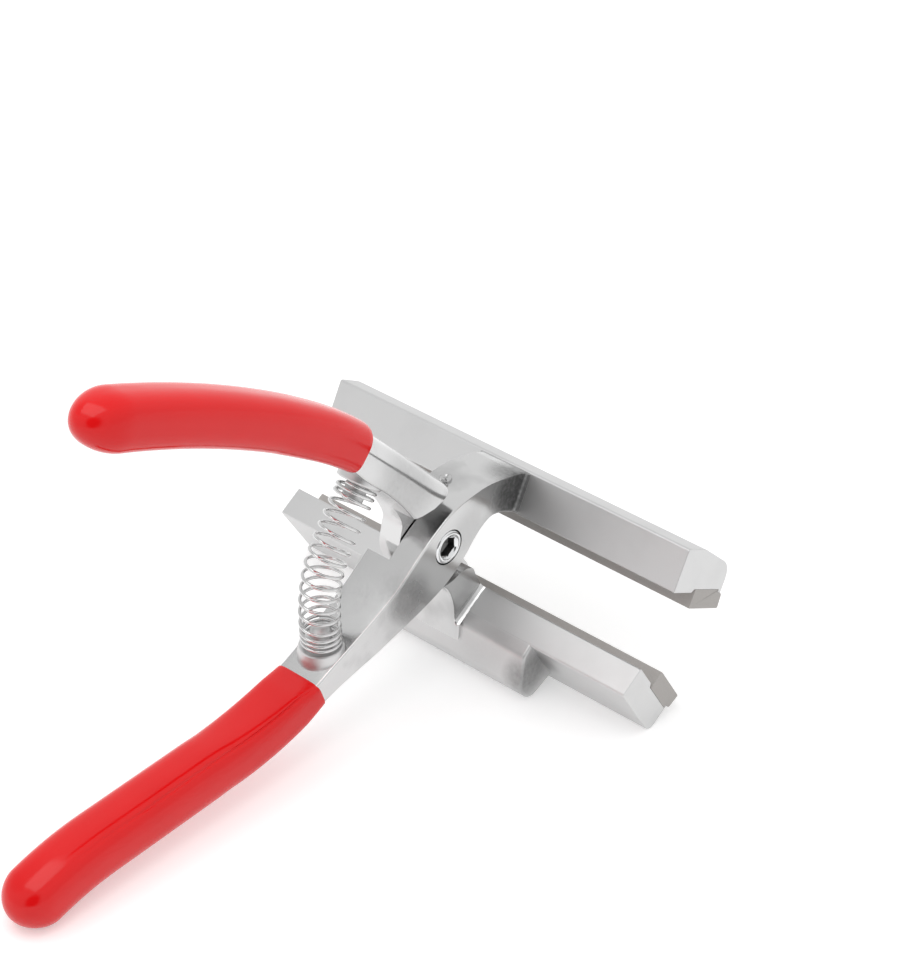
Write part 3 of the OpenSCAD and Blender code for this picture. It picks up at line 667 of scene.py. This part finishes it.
def coil_rings(line, s, turns, radius, wire_r, sides=10):
    """A tube round a helix about a line: the wire's middle lies radius (sin t, cos t) across
    the line at angle t, and the tube's ring is spanned by the outward direction and its cross
    product with the tangent."""
    q = path_at(*line, s)
    t = 2 * math.pi * turns
    out = np.stack([np.sin(t), np.cos(t) * np.sin(q[:, 2]), -np.cos(t) * np.cos(q[:, 2])], -1)
    middle = np.stack([np.zeros(len(s)), q[:, 0], q[:, 1]], -1) + radius * out
    tangent = unit(np.gradient(middle, axis=0))
    out = unit(out - (out * tangent).sum(1, keepdims=True) * tangent)
    side = np.cross(tangent, out)
    a = np.linspace(0, 2 * math.pi, sides, endpoint=False)[None, :, None]
    return middle[:, None] + wire_r * (np.cos(a) * out[:, None] + np.sin(a) * side[:, None])


# the pitch is close over the first and last curls and wide between them
all_curls, steps_per_curl, end_gap = lower_curls + wide_curls + upper_curls, 28, 0.55
turns = np.linspace(0, all_curls, int(all_curls * steps_per_curl) + 1)
spring_s = np.interp(turns, [0, lower_curls, lower_curls + wide_curls, all_curls],
                     [end_gap, wire_d + lower_curls * close_pitch,
                      spring_len - wire_d - upper_curls * close_pitch, spring_len - end_gap])
spring = add_piece("return_coil", coil_rings(spring_line, spring_s, turns, coil_r, wire_d / 2),
                   upper_tilt, None, "return_spring", "spring_wire", wire,
                   sharp=60, weighted=False)
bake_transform(spring)

# Screw and nut. A hexagon's radius at an angle is its half width over the cosine of the angle
# from the nearest flat

angle = np.linspace(0, 2 * math.pi, 72, endpoint=False)
to_flat = np.cos((angle + math.pi / 6) % (math.pi / 3) - math.pi / 6)
socket = socket_half / to_flat
face = upper_half - 0.05
ring_foot = face - 0.35
head_ring = [(head_ring_r - (head_r - head_ring_r) * math.cos(a),
              ring_foot + head_ring_h * math.sin(a)) for a in np.radians(range(15, 181, 15))]
screw = across(
    [(0.05, face - socket_depth - 0.7), (socket * 0.98, face - socket_depth - 0.1),
     (socket, face - socket_depth), (socket, ring_foot)] + head_ring
    + [(head_r, face - 1.2), (head_r, 4.0), (shank_r, 4.0), (shank_r, -11.0),
       (shank_r - 0.3, -11.3), (0.05, -11.3)])
screw = add_piece("pivot_socket_screw", screw, lower_tilt, LOWER, "pivot_screw", "plated_screw",
                  chrome, sharp=50)
# the first three bands of faces, and the first cap, are the socket's floor and walls, which take the
# painted socket shade
screw.data.materials.append(socket_shade)
bands = np.zeros(len(screw.data.polygons), np.int32)
bands[:3 * len(angle)] = 1
bands[-2] = 1
screw.data.polygons.foreach_set("material_index", bands)

flat = nut_half / to_flat
top = -lower_half - nut_t
bore = shank_r + 0.02
nut = across([
    (bore, -lower_half), (flat - 0.3, -lower_half), (flat, -lower_half - 0.2),
    (flat, top + (flat - nut_face_r) * nut_bevel), (nut_face_r, top), (3.6, top),
    (bore, top + 0.5)])
add_piece("pivot_hex_nut", nut, lower_tilt, LOWER, "pivot_nut", "plated_screw", chrome, sharp=25)


# Floor, light and camera, in metres

floor_half, floor_glow, tent_light, softbox_watts = 4, 0.36, 0.93, 0.44


def floor_paint():
    # Matt white paper, with a little light of its own towards the camera so that it shows white
    # round the shadow
    material, tree = new_material("white_paper_floor")
    ray = node(tree, "ShaderNodeLightPath")
    seen = node(tree, "ShaderNodeMath", {"operation": "ADD"},
                {0: ray.outputs["Is Camera Ray"], 1: ray.outputs["Is Glossy Ray"]})
    seen = node(tree, "ShaderNodeMath", {"operation": "ADD"},
                {0: seen.outputs["Value"], 1: ray.outputs["Is Transmission Ray"]})
    strength = node(tree, "ShaderNodeMath", {"operation": "MULTIPLY", 1: floor_glow},
                    {0: seen.outputs["Value"]})
    paper = node(tree, "ShaderNodeBsdfDiffuse", {"Color": linear("#F1F1F1")})
    glow = node(tree, "ShaderNodeEmission", {"Color": (1, 1, 1, 1)},
                {"Strength": strength.outputs["Value"]})
    both = node(tree, "ShaderNodeAddShader", None, {0: paper.outputs[0], 1: glow.outputs[0]})
    node(tree, "ShaderNodeOutputMaterial", None, {"Surface": both.outputs[0]})
    return material


def light_tent():
    """A white light tent: open towards the camera, and with a dimmer wall on the left. The
    camera itself sees plain white."""
    world = bpy.data.worlds.new("studio")
    world.use_nodes = True
    tree = world.node_tree
    tree.nodes.clear()
    ray = node(tree, "ShaderNodeLightPath")
    towards = node(tree, "ShaderNodeTexCoord").outputs["Generated"]

    def darker(direction, inner, outer, keep):
        """Light that falls to keep within inner degrees of a direction, and is whole beyond
        outer degrees."""
        direction = np.array(direction) / np.linalg.norm(direction)
        along = node(tree, "ShaderNodeVectorMath",
                     {"operation": "DOT_PRODUCT", 1: direction.tolist()}, {0: towards})
        return node(tree, "ShaderNodeMapRange", {
            "interpolation_type": "SMOOTHSTEP", "From Min": math.cos(math.radians(outer)),
            "From Max": math.cos(math.radians(inner)), "To Min": 1.0, "To Max": keep},
            {"Value": along.outputs["Value"]}).outputs["Result"]

    opening = darker((0.57, -0.74, 0.36), 15, 31, 0.08)
    left_wall = darker((-0.7, -0.3, 0.65), 12, 30, 0.72)
    tent = node(tree, "ShaderNodeMath", {"operation": "MULTIPLY"}, {0: opening, 1: left_wall})
    tent = node(tree, "ShaderNodeMath", {"operation": "MULTIPLY", 1: tent_light},
                {0: tent.outputs["Value"]})
    white = node(tree, "ShaderNodeBackground", {"Color": (1, 1, 1, 1), "Strength": 1.0})
    room = node(tree, "ShaderNodeBackground", {"Color": (1, 1, 1, 1)},
                {"Strength": tent.outputs["Value"]})
    choice = node(tree, "ShaderNodeMixShader", None, {
        0: ray.outputs["Is Camera Ray"], 1: room.outputs[0], 2: white.outputs[0]})
    node(tree, "ShaderNodeOutputWorld", None, {"Surface": choice.outputs[0]})
    return world


mesh = bpy.data.meshes.new("paper_floor")
corners = [(-floor_half, -floor_half, 0), (floor_half, -floor_half, 0),
           (floor_half, floor_half, 0), (-floor_half, floor_half, 0)]
mesh.from_pydata(corners, [], [(0, 1, 2, 3)])
mesh.materials.append(floor_paint())
paper_floor = bpy.data.objects.new("paper_floor", mesh)
scene.collection.objects.link(paper_floor)
scene.world = light_tent()

data = bpy.data.lights.new("overhead_softbox", "AREA")
data.shape, data.size, data.size_y, data.energy = "RECTANGLE", 0.4, 0.26, softbox_watts
lamp = bpy.data.objects.new("overhead_softbox", data)
lamp.location = (-0.04, -0.17, 0.42)
scene.collection.objects.link(lamp)

# The camera stands on the side of the handles, to the right, looks down at a point in the plane
# x = 0 and is rolled a little. Its place is in metres and its angles are in degrees

aim, distance = np.array([0, 0.05712, 0.05269]), 0.63539
azimuth, elevation, roll = np.radians([41.2211, 32.8970, 1.1507])
level = np.array([math.cos(azimuth), math.sin(azimuth), 0])
ahead = np.array([-math.sin(azimuth), math.cos(azimuth), 0])
forward = ahead * math.cos(elevation) - np.array([0, 0, math.sin(elevation)])
upward = np.cross(level, forward)
right = level * math.cos(roll) + upward * math.sin(roll)
up = upward * math.cos(roll) - level * math.sin(roll)
pose = np.column_stack([right, up, -forward, aim - forward * distance])
data = bpy.data.cameras.new("photo_camera")
data.sensor_fit, data.sensor_width, data.lens = "HORIZONTAL", 36.0, 98.22
data.clip_start, data.clip_end = 0.01, 50
camera = bpy.data.objects.new("photo_camera", data)
camera.matrix_world = Matrix(np.vstack([pose, [0, 0, 0, 1]]).tolist())
scene.collection.objects.link(camera)
scene.camera = camera
